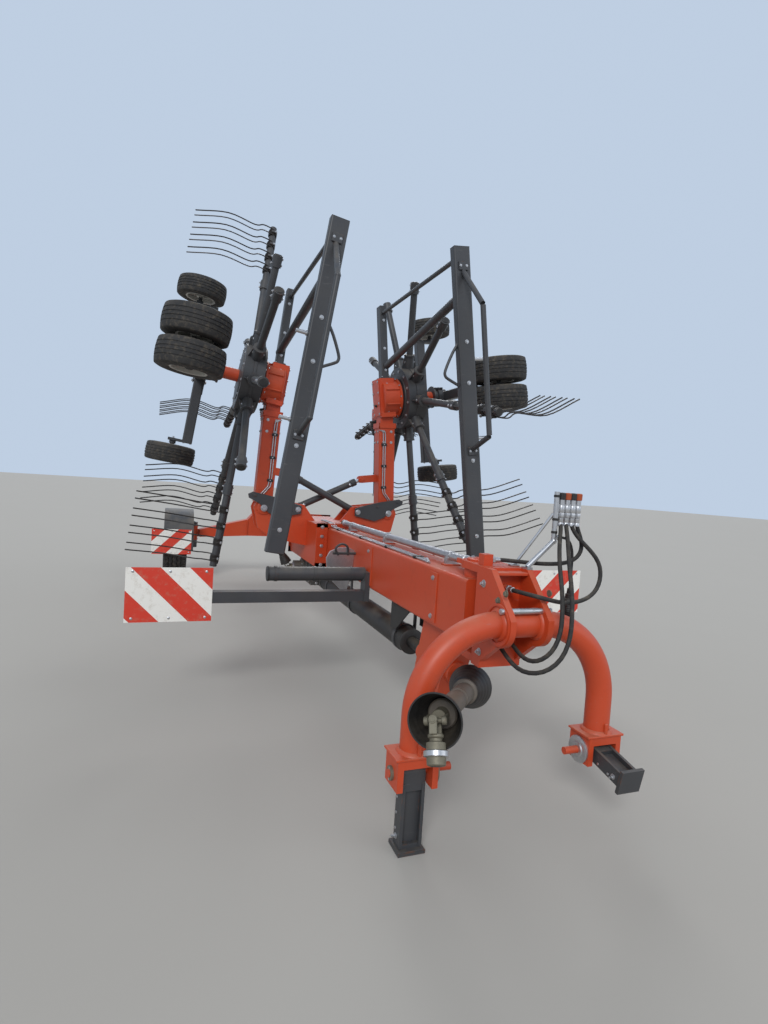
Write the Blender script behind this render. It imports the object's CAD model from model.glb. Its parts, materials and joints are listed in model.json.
"""Looks of a twin-rotor rotary hay rake, folded up for the road and parked on its legs."""
import itertools
import json
import math

import bmesh
import bpy
from mathutils import Matrix, Vector


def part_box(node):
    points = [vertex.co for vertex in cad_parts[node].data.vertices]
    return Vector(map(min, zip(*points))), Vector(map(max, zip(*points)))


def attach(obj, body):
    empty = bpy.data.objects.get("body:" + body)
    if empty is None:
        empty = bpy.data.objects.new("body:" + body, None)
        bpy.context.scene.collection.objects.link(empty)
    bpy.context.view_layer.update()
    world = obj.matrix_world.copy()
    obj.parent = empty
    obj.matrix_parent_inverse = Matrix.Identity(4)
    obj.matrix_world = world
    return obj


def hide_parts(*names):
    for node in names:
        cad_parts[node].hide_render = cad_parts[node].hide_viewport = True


bl_info = {
    "name": "Rotary Hay Rake",
    "version": (1, 0, 0),
    "blender": (4, 5, 0),
    "location": "3D View > Sidebar > Hay Rake",
    "description": "Paint, tyres, tines, hoses and small fittings of a twin-rotor hay rake",
    "category": "Object",
}

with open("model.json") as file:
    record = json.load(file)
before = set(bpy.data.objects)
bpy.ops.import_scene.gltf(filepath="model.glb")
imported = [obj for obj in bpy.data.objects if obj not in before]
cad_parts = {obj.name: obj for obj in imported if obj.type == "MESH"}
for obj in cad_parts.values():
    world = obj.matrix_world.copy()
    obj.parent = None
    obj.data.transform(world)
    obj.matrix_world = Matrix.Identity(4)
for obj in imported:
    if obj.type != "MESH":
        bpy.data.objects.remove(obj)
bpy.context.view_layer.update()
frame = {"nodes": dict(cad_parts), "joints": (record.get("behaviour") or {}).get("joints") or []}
NODES = frame["nodes"]
JOINTS = {joint["name"]: joint for joint in frame["joints"]}
SIDES = {"right": -1, "left": 1}
MM = 0.001
UP = (0, 0, 1)
FORWARD = (0, -1, 0)
REARWARD = (0, 1, 0)


# Axes, all counted in millimetres


def joint_at(name):
    """Point of a joint in the frame's axes."""
    return Vector(JOINTS[name]["pos_m"]) / MM


def joint_axis(name):
    """Direction of a joint's axis."""
    return Vector(JOINTS[name]["axis"]).normalized()


def axes(at, x, y, z):
    """Matrix of three directions that meet at a point."""
    place = Matrix.Translation(at)
    for column, axis in enumerate((x, y, z)):
        place.col[column][:3] = axis
    return place


def facing(at, direction):
    """Matrix whose z axis points along direction from a point."""
    turn = Vector(UP).rotation_difference(Vector(direction).normalized())
    return Matrix.Translation(at) @ turn.to_matrix().to_4x4()


def moved(x, y, z):
    """Matrix of a shift."""
    return Matrix.Translation((x, y, z))


def turned(degrees, axis="Z"):
    """Matrix of a turn about one of the axes."""
    return Matrix.Rotation(math.radians(degrees), 4, axis)


def folded(side, hinge="arm_lower_"):
    """Axes of a folded arm at one of its hinges: u along it, v rearward and h up, all as it lies in work."""
    along = joint_axis("wheel_upper_spin_" + side)
    return WORLD @ axes(joint_at(hinge + side), along, REARWARD, joint_axis("rotor_spin_" + side))


WORLD = Matrix.Scale(MM, 4)
SWIVEL_Y = -1060
# the machine's own axes, where y counts back from the front boards
MACHINE = WORLD @ moved(0, joint_at("headstock_swivel").y - SWIVEL_Y, 0)
BOX_Z = 500  # height of the centre gearbox's shafts
SHARP_SHAPES = math.radians(35)  # edges sharper than this are not smoothed
SHARP_FRAME = math.radians(32)
PLATE_EDGE = 2


# Shapes


def circle(radius, count, turn=0.0):
    """Points round z, all turned on by a share of one step."""
    angles = [2 * math.pi * (k + turn) / count for k in range(count)]
    return [(radius * math.cos(angle), radius * math.sin(angle)) for angle in angles]


def rings(total, count, closed):
    """Faces between rows of count points, the last row joined to the first one."""
    faces = []
    for k in range(total):
        a, b = k * count, (k + 1) % total * count
        for i in range(count if closed else count - 1):
            j = (i + 1) % count
            faces.append((a + i, b + i, b + j, a + j))
    return faces


class Form:
    """Faces of one piece in its own axes, gathered shape by shape, each with its paint's number."""

    def __init__(self, place=None):
        self.axes = place or MACHINE
        self.points = []
        self.faces = []
        self.marks = []

    def add(self, points, faces, mark=0, place=None, smooth=True):
        """Points and faces as they are, moved by the matrix place."""
        start = len(self.points)
        place = self.axes @ place if place else self.axes
        self.points += [place @ Vector(p) for p in points]
        for face in faces:
            self.faces.append([start + i for i in face])
            self.marks.append((mark, smooth))

    def lathe(self, profile, steps=48, mark=0, place=None, closed=False, smooth=True):
        """Profile of (height, radius) rows turned about z, with end caps unless the profile is closed."""
        rows = len(profile)
        points = [(r * x, r * y, height) for x, y in circle(1, steps) for height, r in profile]
        faces = rings(steps, rows, closed)
        if not closed:
            faces.append([k * rows for k in range(steps)][::-1])
            faces.append([k * rows + rows - 1 for k in range(steps)])
        self.add(points, faces, mark, place, smooth)

    def ring(self, profile, steps=48, mark=0, place=None):
        """Closed profile of (height, radius) rows turned about z, for what has a hole through it."""
        self.lathe(profile, steps, mark, place, closed=True)

    def rod(self, a, b, r, mark=0, sides=16, place=None):
        """Round bar from a to b with its edges eased."""
        a, b = Vector(a), Vector(b)
        long = (b - a).length
        ease = min(r * 0.12, long / 3)
        here = facing(a, b - a)
        self.lathe([(0, r - ease), (ease, r), (long - ease, r), (long, r - ease)], sides, mark,
                   place @ here if place else here)

    def block(self, one, other, edge=2, mark=0, place=None):
        """Box between two corners with its edges cut back."""
        half = Vector([abs(a - b) / 2 for a, b in zip(one, other)])
        centre = (Vector(one) + Vector(other)) / 2
        edge = min(edge, *(0.45 * h for h in half))
        corners = list(itertools.product((-1, 1), repeat=3))
        points, index = [], {}
        for corner in corners:
            for axis in range(3):
                p = Vector([sign * (h - edge) for sign, h in zip(corner, half)])
                p[axis] = corner[axis] * half[axis]
                index[(*corner, axis)] = len(points)
                points.append(p + centre)

        def at(axis, i, j, s, a, b, side):
            corner = [0, 0, 0]
            corner[axis], corner[i], corner[j] = s, a, b
            return index[(*corner, side)]

        faces = [[index[(*corner, axis)] for axis in range(3)] for corner in corners]
        for axis in range(3):
            i, j = [k for k in range(3) if k != axis]
            for s in (-1, 1):
                faces.append([at(axis, i, j, s, a, b, axis) for a, b in ((-1, -1), (1, -1), (1, 1), (-1, 1))])
            for a, b in itertools.product((-1, 1), repeat=2):
                faces.append([at(axis, i, j, s, a, b, side)
                              for s, side in ((-1, i), (1, i), (1, j), (-1, j))])
        self.add(points, faces, mark, place, smooth=False)

    def sweep(self, path, r, sides, mark=0, place=None, closed=False):
        """Tube round a path."""
        path = [Vector(p) for p in path]
        count = len(path)
        along = []
        for i in range(count):
            before = path[i - 1] if closed or i else path[0]
            after = path[(i + 1) % count] if closed or i < count - 1 else path[-1]
            along.append((after - before).normalized())
        across = along[0].orthogonal().normalized()
        points = []
        for at, way in zip(path, along):
            across = (across - way * across.dot(way)).normalized()
            third = way.cross(across)
            points += [at + x * across + y * third for x, y in circle(r, sides)]
        faces = rings(count, sides, True) if closed else rings(count, sides, True)[:(count - 1) * sides]
        if not closed:
            faces.append(list(range(sides))[::-1])
            faces.append([(count - 1) * sides + k for k in range(sides)])
        self.add(points, faces, mark, place)

    def plate(self, outline, thick, mark=0, place=None):
        """Flat outline in x and y, thick along z and centred on it, with its rims cut back."""
        count = len(outline)
        corners = [Vector((*p, 0)) for p in outline]
        centre = sum(corners, Vector()) / count
        points = []
        for z, back in ((-0.5, 1), (-0.5, 0), (0.5, 0), (0.5, 1)):
            lift = 0 if back else -math.copysign(PLATE_EDGE, z)
            for at in corners:
                inward = (centre - at).normalized() * PLATE_EDGE * back
                points.append(at + inward + Vector((0, 0, z * thick + lift)))
        faces = [list(range(count))[::-1], [3 * count + k for k in range(count)]]
        faces += rings(4, count, True)[:3 * count]
        self.add(points, faces, mark, place, smooth=False)

    def bolt(self, at, direction, r, mark=1, place=None, nut=False):
        """Hexagon head on a washer, standing out along direction."""
        here = facing(at, direction)
        here = place @ here if place else here
        self.lathe([(0, 1.45 * r), (0.18 * r, 1.45 * r), (0.22 * r, 1.4 * r)], 20, mark, here)
        head = [(0.2 * r, 1.05 * r), (0.82 * r, 1.05 * r), (0.95 * r, 0.9 * r)]
        self.lathe(head, 6, mark, here, smooth=False)
        if nut:
            self.lathe([(0.9 * r, 0.55 * r), (1.5 * r, 0.55 * r), (1.6 * r, 0.45 * r)], 12, mark, here)

    def bolts(self, xs, ys, zs, direction, r, mark=1, place=None, nut=False):
        """Bolts at every crossing of the given x, y and z, each one number or several."""
        for at in itertools.product(*(v if isinstance(v, tuple) else (v,) for v in (xs, ys, zs))):
            self.bolt(at, direction, r, mark, place, nut)

    def bolt_ring(self, radius, count, r, mark=1, place=None, turn=0.0, nut=False):
        """Bolts on a circle round z."""
        for x, y in circle(radius, count, turn):
            self.bolt((x, y, 0), UP, r, mark, place, nut)

    def piece(self, name, paints, body, slot, replaces=()):
        """Object of all that was gathered, riding on a body of the machine."""
        mesh = bpy.data.meshes.new(name)
        mesh.from_pydata([tuple(p) for p in self.points], [], self.faces)
        for paint in paints.split():
            mesh.materials.append(finishes()[paint])
        for polygon, (mark, smooth) in zip(mesh.polygons, self.marks):
            polygon.material_index = mark
            polygon.use_smooth = smooth
        tidy = bmesh.new()
        tidy.from_mesh(mesh)
        bmesh.ops.recalc_face_normals(tidy, faces=tidy.faces)
        tidy.to_mesh(mesh)
        tidy.free()
        mesh.set_sharp_from_angle(angle=SHARP_SHAPES)
        made = bpy.data.objects.new(name, mesh)
        bpy.context.scene.collection.objects.link(made)
        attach(made, body)
        if replaces:
            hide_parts(*replaces)
        return made


def smooth_path(points, steps):
    """Points of a Catmull-Rom curve through the given ones."""
    pts = [Vector(p) for p in points]
    ends = [2 * pts[0] - pts[1]] + pts + [2 * pts[-1] - pts[-2]]
    found = []
    for i in range(1, len(ends) - 2):
        a, b, c, d = ends[i - 1:i + 3]
        for k in range(steps):
            t = k / steps
            found.append(0.5 * (2 * b + (c - a) * t + (2 * a - 5 * b + 4 * c - d) * t * t
                                + (3 * b - a - 3 * c + d) * t ** 3))
    return found + [pts[-1]]


# Finishes


class Paint:
    """A material under construction; each method adds one thing that the real surface shows."""

    def __init__(self, name, colour, roughness=0.5, metallic=0.0):
        self.material = bpy.data.materials.new(name)
        self.material.use_nodes = True
        self.material.diffuse_color = (*colour, 1)
        self.tree = self.material.node_tree
        self.shader = self.tree.nodes["Principled BSDF"]
        self.where = self.node("ShaderNodeTexCoord").outputs["Object"]
        rgb = self.node("ShaderNodeRGB")
        rgb.outputs[0].default_value = (*colour, 1)
        self.colour = rgb.outputs[0]
        value = self.node("ShaderNodeValue")
        value.outputs[0].default_value = roughness
        self.rough = value.outputs[0]
        self.shader.inputs["Metallic"].default_value = metallic

    def node(self, kind, **settings):
        """New node with its properties and input values set."""
        made = self.tree.nodes.new(kind)
        for key, value in settings.items():
            if hasattr(made, key):
                setattr(made, key, value)
            else:
                made.inputs[key].default_value = value
        return made

    def link(self, a, b):
        """Wire from one socket to another."""
        self.tree.links.new(a, b)

    def noise(self, scale, detail=4.0, rough=0.6, stretch=(1, 1, 1)):
        """Noise between 0 and 1 over the object, scale cells to the metre."""
        place = self.node("ShaderNodeMapping")
        place.inputs["Scale"].default_value = stretch
        self.link(self.where, place.inputs["Vector"])
        made = self.node("ShaderNodeTexNoise", Scale=scale, Detail=detail, Roughness=rough)
        self.link(place.outputs[0], made.inputs["Vector"])
        return made.outputs["Fac"]

    def step(self, source, low, high, to_low=0.0, to_high=1.0):
        """Source mapped from low..high to to_low..to_high and clamped."""
        made = self.node("ShaderNodeMapRange", clamp=True)
        for key, value in (("From Min", low), ("From Max", high), ("To Min", to_low), ("To Max", to_high)):
            made.inputs[key].default_value = value
        self.link(source, made.inputs["Value"])
        return made.outputs[0]

    def math(self, operation, a, b=0.0):
        """Result of one operation on sockets or numbers."""
        made = self.node("ShaderNodeMath", operation=operation)
        for socket, value in zip(made.inputs, (a, b)):
            if isinstance(value, (int, float)):
                socket.default_value = value
            else:
                self.link(value, socket)
        return made.outputs[0]

    def mix(self, mask, colour, roughness=None):
        """Another colour, and often another roughness, where mask is 1."""
        made = self.node("ShaderNodeMix", data_type="RGBA")
        self.link(mask, made.inputs[0])
        self.link(self.colour, made.inputs[6])
        made.inputs[7].default_value = (*colour, 1)
        self.colour = made.outputs[2]
        if roughness is not None:
            made = self.node("ShaderNodeMix", data_type="FLOAT")
            self.link(mask, made.inputs[0])
            self.link(self.rough, made.inputs[2])
            made.inputs[3].default_value = roughness
            self.rough = made.outputs[0]

    def patches(self, cells, low, high, amount, colour, roughness=None):
        """Patches of another colour and roughness where a noise goes from low to high, up to an amount."""
        self.mix(self.step(self.noise(*cells), low, high, 0.0, amount), colour, roughness)

    def upward(self):
        """1 on faces that look up."""
        parts = self.node("ShaderNodeSeparateXYZ")
        self.link(self.node("ShaderNodeNewGeometry").outputs["Normal"], parts.inputs[0])
        return parts.outputs["Z"]

    def edges(self):
        """1 on edges that stick out, where paint wears first."""
        bevel = self.node("ShaderNodeBevel", samples=4)
        bevel.inputs["Radius"].default_value = WORN_WIDTH
        apart = self.node("ShaderNodeVectorMath", operation="DOT_PRODUCT")
        self.link(bevel.outputs[0], apart.inputs[0])
        self.link(self.node("ShaderNodeNewGeometry").outputs["Normal"], apart.inputs[1])
        return self.step(apart.outputs["Value"], 0.995, 0.9)

    def dust(self, amount):
        """Dust that has settled on what looks up, and a little elsewhere."""
        lying = self.step(self.upward(), 0.1, 0.95, 0.1, 1.0)
        patchy = self.step(self.noise(7.0, 6.0), 0.35, 0.75)
        self.mix(self.math("MULTIPLY", self.math("MULTIPLY", lying, patchy), amount), DUST, 0.85)

    def grain(self, height, strength, distance):
        """Bump of a surface from a height between 0 and 1."""
        made = self.node("ShaderNodeBump", Strength=strength, Distance=distance)
        self.link(height, made.inputs["Height"])
        self.link(made.outputs[0], self.shader.inputs["Normal"])

    def done(self):
        """The material, with all that was added wired to its shader."""
        self.link(self.colour, self.shader.inputs["Base Color"])
        self.link(self.rough, self.shader.inputs["Roughness"])
        return self.material


DUST = (0.33, 0.27, 0.19)
RUST = (0.16, 0.055, 0.02)
GRIME = (0.34, 0.28, 0.2)
SCRATCH = (0.45, 0.4, 0.35)
BOARD_WHITE = (0.78, 0.78, 0.75)
WORN_WIDTH = 0.006  # reach of the wear beside an edge, in metres
STRIPE = 0.10  # width of a marker board's stripe in metres
FRONT_PHASE = 0.626
REAR_PHASE = 0.150


def tinted(colour, times, more=0.0):
    """A colour made lighter or darker."""
    return tuple(times * c + more for c in colour)


def enamel(name, colour, faded, wear=0.5, dust=0.35, gloss=0.38):
    """Sprayed enamel: slight fading, chipped edges, fine scratches and dust."""
    paint = Paint(name, colour, gloss)
    paint.patches((1.6, 3.0), 0.35, 0.75, 0.6, faded, gloss + 0.12)
    paint.patches((14.0, 8.0, 0.7), 0.55, 0.75, 0.35, tinted(colour, 0.6))
    paint.patches((60.0, 3.0, 0.7, (0.12, 1, 1)), 0.66, 0.72, 0.35, tinted(colour, 0.5, 0.12), 0.6)
    worn = paint.math("MULTIPLY", paint.edges(), paint.step(paint.noise(26.0, 6.0, 0.75), 0.52, 0.62))
    paint.mix(paint.math("MULTIPLY", worn, wear), RUST, 0.75)
    paint.dust(dust)
    paint.grain(paint.noise(240.0, 2.0), 0.06, 0.0005)
    return paint.done()


def rubber(name, colour, dust):
    """Weathered rubber with dried dust in its low places."""
    paint = Paint(name, colour, 0.75)
    paint.patches((9.0, 5.0), 0.4, 0.7, 0.5, tinted(colour, 2.2), 0.85)
    paint.patches((38.0, 8.0, 0.7), 0.5, 0.75, dust, DUST, 0.95)
    paint.dust(dust)
    paint.grain(paint.noise(150.0, 4.0), 0.15, 0.0008)
    return paint.done()


def steel(name, colour, roughness, rust, metallic=0.9):
    """Bare or plated metal, dulled and spotted with rust."""
    paint = Paint(name, colour, roughness, metallic)
    paint.patches((22.0, 6.0, 0.7), 0.45, 0.7, 0.5, tinted(colour, 0.55), roughness + 0.15)
    paint.patches((45.0, 8.0, 0.75), 0.6, 0.7, rust, RUST, 0.85)
    paint.grain(paint.noise(300.0, 3.0, 0.6, (1, 1, 0.1)), 0.08, 0.0004)
    return paint.done()


def plastic(name, colour, roughness=0.5):
    """Moulded plastic, scuffed and dusty."""
    paint = Paint(name, colour, roughness)
    paint.patches((30.0, 6.0, 0.7), 0.5, 0.75, 0.4, tinted(colour, 2.0, 0.02), 0.7)
    paint.dust(0.35)
    paint.grain(paint.noise(420.0, 2.0), 0.12, 0.0005)
    return paint.done()


def striped(name, lean, phase, red):
    """Marker board sheet: red and white stripes at 45 degrees, which lean the other way on the other side."""
    paint = Paint(name, BOARD_WHITE, 0.45)
    parts = paint.node("ShaderNodeSeparateXYZ")
    paint.link(paint.where, parts.inputs[0])
    out = paint.math("ABSOLUTE", parts.outputs["X"])
    along = paint.math("ADD", parts.outputs["Z"], paint.math("MULTIPLY", out, lean))
    turns = paint.math("MULTIPLY", paint.math("ADD", along, phase), 1 / (2 * STRIPE * math.sqrt(2)))
    pitch = paint.math("FRACT", turns)
    paint.mix(paint.step(pitch, 0.501, 0.499), red, 0.42)
    paint.patches((30.0, 8.0, 0.7), 0.52, 0.75, 0.45, GRIME, 0.8)
    paint.patches((90.0, 4.0, 0.7, (0.2, 1, 1)), 0.68, 0.72, 0.5, SCRATCH, 0.7)
    paint.grain(paint.noise(700.0, 1.0), 0.08, 0.0003)
    return paint.done()


class RakeFinish(bpy.types.PropertyGroup):
    """Colours of the machine's finishes."""

    frame_red: bpy.props.FloatVectorProperty(
        name="Frame paint", description="Enamel of the beam, arms and headstock",
        subtype="COLOR", size=3, min=0, max=1, default=(0.52, 0.050, 0.011))
    frame_faded: bpy.props.FloatVectorProperty(
        name="Faded paint", description="The same enamel where the sun has worked on it",
        subtype="COLOR", size=3, min=0, max=1, default=(0.53, 0.078, 0.022))
    guard_grey: bpy.props.FloatVectorProperty(
        name="Guard paint", description="Enamel of the guards, posts and undercarriages",
        subtype="COLOR", size=3, min=0, max=1, default=(0.035, 0.037, 0.042))
    rim_grey: bpy.props.FloatVectorProperty(
        name="Wheel paint", description="Enamel of the wheel discs",
        subtype="COLOR", size=3, min=0, max=1, default=(0.42, 0.42, 0.40))
    board_red: bpy.props.FloatVectorProperty(
        name="Board red", description="Red stripes of the marker boards",
        subtype="COLOR", size=3, min=0, max=1, default=(0.60, 0.04, 0.02))
    floor_grey: bpy.props.FloatVectorProperty(
        name="Floor", description="Colour of the studio floor",
        subtype="COLOR", size=3, min=0, max=1, default=(0.40, 0.39, 0.37))


class RakeSizes(bpy.types.PropertyGroup):
    """Sizes of what is added to the frame."""

    tread_depth: bpy.props.FloatProperty(
        name="Tread depth", description="Depth of the grooves of a road tyre",
        unit="LENGTH", min=0.004, max=0.02, default=0.011)
    tine_radius: bpy.props.FloatProperty(
        name="Tine wire", description="Radius of a tine's spring wire",
        unit="LENGTH", min=0.004, max=0.006, default=0.005)
    hose_radius: bpy.props.FloatProperty(
        name="Hose", description="Radius of a hydraulic hose",
        unit="LENGTH", min=0.006, max=0.012, default=0.008)
    lens: bpy.props.FloatProperty(
        name="Lens", description="Focal length of the camera in millimetres",
        min=10, max=60, default=19.97)


FINISHES = {}


def finishes():
    """Every material of the machine by a short name, made once."""
    if FINISHES:
        return FINISHES
    look = bpy.context.scene.rake_finish
    red, faded, grey = (tuple(c) for c in (look.frame_red, look.frame_faded, look.guard_grey))
    FINISHES.update({
        "red": enamel("Frame_Enamel", red, faded),
        "dark": enamel("Guard_Enamel", grey, tinted(grey, 1.8), wear=0.7, gloss=0.42),
        "rim": enamel("Wheel_Enamel", tuple(look.rim_grey), (0.36, 0.33, 0.28), wear=0.4, dust=0.5),
        "gearbox": enamel("Gearbox_Enamel", (0.05, 0.05, 0.05), (0.09, 0.085, 0.08), wear=0.6, dust=0.6),
        "rubber": rubber("Tyre_Rubber", (0.016, 0.016, 0.017), 0.3),
        "hose": rubber("Hose_Rubber", (0.012, 0.012, 0.013), 0.2),
        "steel": steel("Zinc_Plate", (0.55, 0.55, 0.56), 0.35, 0.25),
        "chrome": steel("Hard_Chrome", (0.72, 0.72, 0.73), 0.12, 0.05, 1.0),
        "spring": steel("Spring_Wire", (0.05, 0.045, 0.042), 0.45, 0.35, 0.6),
        "cast": steel("Cast_Joint", (0.22, 0.20, 0.15), 0.6, 0.5, 0.6),
        "plastic": plastic("Guard_Plastic", (0.012, 0.012, 0.013)),
        "board_front": striped("Board_Sheet_Front", -1.0, FRONT_PHASE, tuple(look.board_red)),
        "board_rear": striped("Board_Sheet_Rear", 1.0, REAR_PHASE, tuple(look.board_red)),
        "guard_tube": plastic("Guard_Tube_Plastic", (0.10, 0.085, 0.07), 0.55),
        "cap": plastic("Coupling_Cap", (0.35, 0.06, 0.015), 0.7),
    })
    return FINISHES


NODE_FINISHES = {
    "red": "main_beam rear_axle headstock yoke lift_arm boom",
    "dark": "board_carrier leg knuckle barrel guard undercarriage rotor",
    "gearbox": "centre_gearbox",
    "plastic": "drive_tube drive_links pto_shaft shaft_upper lead_plug",
    "steel": "steering_rod hose_holder shaft_lower",
    "chrome": "rod",
    "rim": "road_rim",
    "rubber": "road_tyre twin_wheels wheel_upper wheel_lower",
    "spring": "tines",
    "hose": "hose_long hose_low hose_loop hose_top lamp_lead",
    "board_front": "front_boards",
    "board_rear": "rear_board",
}


class RAKE_OT_finishes(bpy.types.Operator):
    """Give every piece that comes from the frame its finish"""

    bl_idname = "rake.finishes"
    bl_label = "Finishes"

    def execute(self, context):
        for name, node in NODES.items():
            kind = name.removesuffix("_right").removesuffix("_left")
            keys = [key for key, kinds in NODE_FINISHES.items() if kind in kinds.split()]
            if not keys:
                raise ValueError("no finish for " + name)
            node.data.materials.clear()
            node.data.materials.append(finishes()[keys[0]])
            for polygon in node.data.polygons:
                polygon.use_smooth = True
            node.data.set_sharp_from_angle(angle=SHARP_FRAME)
        return {"FINISHED"}


# Wheels

TREAD_STEPS = (0.0, 0.06, 0.22, 0.28, 0.5, 0.75)  # shares of a pitch; the second and third lie in its cut
WALL = ((0.0, 0.80), (0.10, 0.90), (0.42, 1.0), (0.78, 0.95))  # share of the rise and of the half width
SIDE_BAND = ((0.93, 255), (0.975, 259), (0.975, 266), (0.96, 270))  # share of the half width and radius
SHOULDER = (0.88, 0.84)  # shares of the half width where the tread begins
CROWN_FALL = 0.05  # share of the radius that the tread loses towards its edges
ZIGZAG = 0.035  # how far the grooves swing, as a share of the half width
ROAD_HALF = 130
ROAD_BEAD = 205
ROAD_GROOVES = ((0.16, 0.24), (0.48, 0.56))
ROAD_PITCHES = 34
ROAD_HUB = 85
ROAD_DISH = 20
SMALL_HALF = 75
SMALL_BEAD = 108
SMALL_GROOVES = ((0.10, 0.17), (0.42, 0.49))
SMALL_PITCHES = 16
SMALL_DEPTH = 4
SMALL_HUB = 45
SMALL_DISH = 12
TWIN_HALF = 90
TWIN_SPREAD = 104


def tyre(form, outer, half, bead, grooves, pitches, depth, place=None, cross=1.0):
    """Tyre round z: walls that bulge from the bead, ribs between grooves, and an outer rib cut across."""
    wall = smooth_path([(bead + up * (outer - bead), share * half, 0) for up, share in WALL], 3)

    def crown(share):
        return outer * (1 - CROWN_FALL * share * share)

    rows = [(p.x, p.y, 0, 0) for p in wall]
    outside, inside = SHOULDER
    rows += [(crown(outside) - 0.4 * depth, outside * half, 0, 0.5), (crown(inside), inside * half, 0, 1)]
    for low, high in grooves[::-1]:
        rows += [(crown(high), (high + 0.02) * half, 1, high == grooves[-1][1]),
                 (crown(high) - depth, high * half, 1, 0), (crown(low) - depth, low * half, 1, 0),
                 (crown(low), (low - 0.02) * half, 1, 0)]
    rows += [(r, -y, zig, cut) for r, y, zig, cut in rows[::-1]]
    points, count = [], len(rows)
    for pitch in range(pitches):
        for i, step in enumerate(TREAD_STEPS):
            angle = 2 * math.pi * (pitch + step) / pitches
            swing = cross * ZIGZAG * half * (1 - 4 * abs(step - 0.5))
            for r, y, zig, cut in rows:
                r -= cross * depth * cut if i in (1, 2) else 0
                points.append((r * math.cos(angle), r * math.sin(angle), y + zig * swing))
    form.add(points, rings(pitches * len(TREAD_STEPS), count, True), 0, place)


def wheel_rim(form, half, bead, hub, dish, place=None, mark=1, steps=56):
    """Pressed rim round z with its lips, its well and a dished disc out to the hub."""
    lip, wall = 0.80 * half + 6, 4
    outside = [(lip, bead + 12), (lip - 3, bead), (0.5 * lip, bead - 4), (0.4 * lip, bead - 26)]
    outside = [(-h, r) for h, r in outside] + outside[::-1]
    inside = [(h + (math.copysign(wall, h) if abs(h) > 0.9 * lip else 0), r - wall)
              for h, r in outside[::-1]]
    form.ring(outside + inside, steps, mark, place)
    edge = bead - 27
    face = [(dish - 14, edge), (dish - 8, edge - 14), (dish + 10, edge - 34),
            (dish + 14, hub + 16), (dish + 6, hub + 4), (dish + 6, 0.4 * hub)]
    back = [(h - 6, r) for h, r in face[::-1]]
    form.ring(face + back, steps, mark, place)


def half_height(node):
    """Half of what a node measures from front to back, in millimetres."""
    low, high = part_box(node)
    return (high.y - low.y) / 2 / MM


class RAKE_OT_road_wheels(bpy.types.Operator):
    """Transport tyres with their tread, rims, hubs and wheel nuts"""

    bl_idname = "rake.road_wheels"
    bl_label = "Road wheels"

    def execute(self, context):
        depth = context.scene.rake_sizes.tread_depth / MM
        for side, s in SIDES.items():
            wheel = WORLD @ facing(joint_at("road_wheel_spin_" + side), (s, 0, 0))
            body = "road_wheel_" + side
            form = Form(wheel)
            outer = half_height("road_tyre_" + side)
            tyre(form, outer, ROAD_HALF, ROAD_BEAD, ROAD_GROOVES, ROAD_PITCHES, depth)
            for v in (-1, 1):
                band = [(v * share * ROAD_HALF, r) for share, r in SIDE_BAND]
                form.ring(band[::v], 72)
            form.piece("Road_Tyre_" + side, "rubber", body, "tyre_rubber", ["road_tyre_" + side])
            rim = Form(wheel)
            wheel_rim(rim, ROAD_HALF, ROAD_BEAD, ROAD_HUB, ROAD_DISH, mark=0)
            rim.lathe(((-90, 45), (-85, 52), (30, 55), (32, ROAD_HUB), (44, ROAD_HUB), (46, 60), (75, 55),
                       (80, 48)), 40, 1)
            rim.lathe(((75, 34), (98, 32), (104, 24), (105, 4)), 32, 2)
            rim.bolt_ring(72.5, 6, 9.5, 2, moved(0, 0, 34), nut=True)
            for x, y in circle(135, 8, 0.5):
                rim.lathe(((0, 13), (1.5, 13), (2, 11)), 20, 3, moved(x, y, 30.5))
            rim.rod((176, 0, 50), (176, 0, 85), 4, 3, 10)
            rim.piece("Road_Rim_" + side, "rim gearbox steel plastic", body, "rim_paint",
                      ["road_rim_" + side])
        return {"FINISHED"}


class RAKE_OT_small_wheels(bpy.types.Operator):
    """Ribbed tyres and rims of the rotors' single and twin support wheels"""

    bl_idname = "rake.small_wheels"
    bl_label = "Support wheels"

    def execute(self, context):
        for side in SIDES:
            for name, out in (("wheel_upper_", 1), ("wheel_lower_", -1)):
                form = Form(WORLD)
                axis = joint_axis(name + "spin_" + side) * out
                self.wheel(form, joint_at(name + "spin_" + side), axis, half_height(name + side), SMALL_HALF)
                self.finish(form, name + side)
            form = Form(WORLD)
            axis = joint_axis("twin_wheels_spin_" + side)
            for v in (-1, 1):
                centre = joint_at("twin_wheels_spin_" + side) + v * TWIN_SPREAD * axis
                self.wheel(form, centre, v * axis, half_height("twin_wheels_" + side), TWIN_HALF)
            self.finish(form, "twin_wheels_" + side)
        return {"FINISHED"}

    def wheel(self, form, centre, axis, outer, half):
        """One wheel; the disc's face and the hub's cap look along axis."""
        place = facing(centre, axis)
        tyre(form, outer, half, SMALL_BEAD, SMALL_GROOVES, SMALL_PITCHES, SMALL_DEPTH, place, cross=0.0)
        wheel_rim(form, half, SMALL_BEAD, SMALL_HUB, SMALL_DISH, place, 1, 44)
        form.lathe(((-half * 0.8, 26), (-half * 0.78, 30), (20, 32), (22, 50), (30, 50), (32, 36), (52, 34),
                    (54, 28)), 32, 1, place)
        form.lathe(((52, 26), (68, 25), (73, 18), (74, 3)), 28, 3, place)
        form.bolt_ring(42, 5, 6, 2, place @ moved(0, 0, 26))

    def finish(self, form, node):
        kind, side = node.rsplit("_", 1)
        form.piece("Support_" + kind.title() + "_" + side, "rubber rim steel plastic", node, "tyre_rubber",
                   [node])


# Rotors

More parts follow.
